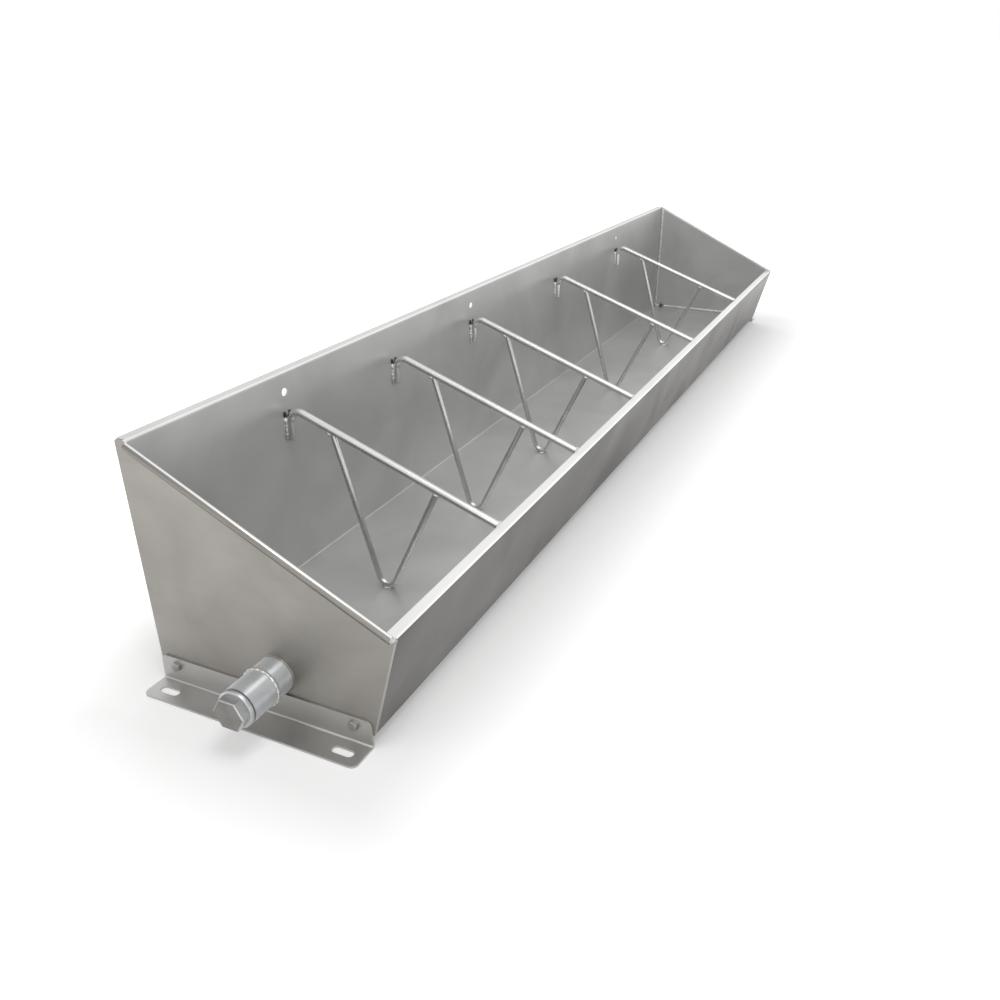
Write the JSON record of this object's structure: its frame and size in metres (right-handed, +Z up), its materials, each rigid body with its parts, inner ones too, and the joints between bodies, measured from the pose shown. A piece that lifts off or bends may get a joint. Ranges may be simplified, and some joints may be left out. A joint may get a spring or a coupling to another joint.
{
  "type": "pig feeding trough",
  "caption": "Long folded stainless trough for young pigs with welded feeding dividers, bolted feet and a drain plug.",
  "frame": {"origin": "middle of the footprint, on the floor that the feet stand on", "axes": "+X along the trough away from the drain, +Y towards the tall back wall, +Z up"},
  "size_m": [1.5892, 0.2534, 0.227],
  "materials": {
    "sheet": "satin cold-rolled stainless",
    "bar": "bright drawn stainless bar",
    "bracket": "satin stainless angle",
    "fastener": "bright stainless",
    "drain": "turned stainless",
    "gasket": "matt black rubber",
    "plug": "turned and milled stainless"
  },
  "bodies": {
    "trough": {"trough_sheet": "sheet", "end_plate_left": "sheet", "end_plate_right": "sheet", "divider_bar_1": "bar", "divider_bar_2": "bar", "divider_bar_3": "bar", "divider_bar_4": "bar", "divider_bar_5": "bar", "divider_vee_1": "bar", "divider_vee_2": "bar", "divider_vee_3": "bar", "divider_vee_4": "bar", "divider_vee_5": "bar", "foot_bracket_left": "bracket", "foot_bracket_right": "bracket", "bracket_bolts": "fastener", "bracket_washers": "fastener", "bracket_nuts": "fastener", "drain_stub": "drain", "drain_weld": "drain", "drain_socket": "drain"},
    "gasket": {"plug_gasket": "gasket"},
    "plug": {"drain_plug": "plug"}
  },
  "joints": [
    {"name": "plug_travel", "type": "slide", "parent": "trough", "child": "gasket", "axis": [-1, 0, 0], "range_m": [0, 0.0145]},
    {"name": "plug_turn", "type": "hinge", "parent": "gasket", "child": "plug", "pos_m": [-0.78256, -0.0093, 0.04335], "axis": [-1, 0, 0], "range_deg": [0, 2880]}
  ],
  "couplings": [
    {"joint": "plug_turn", "follows": "plug_travel", "rad_per_m": 3463.7}
  ]
}
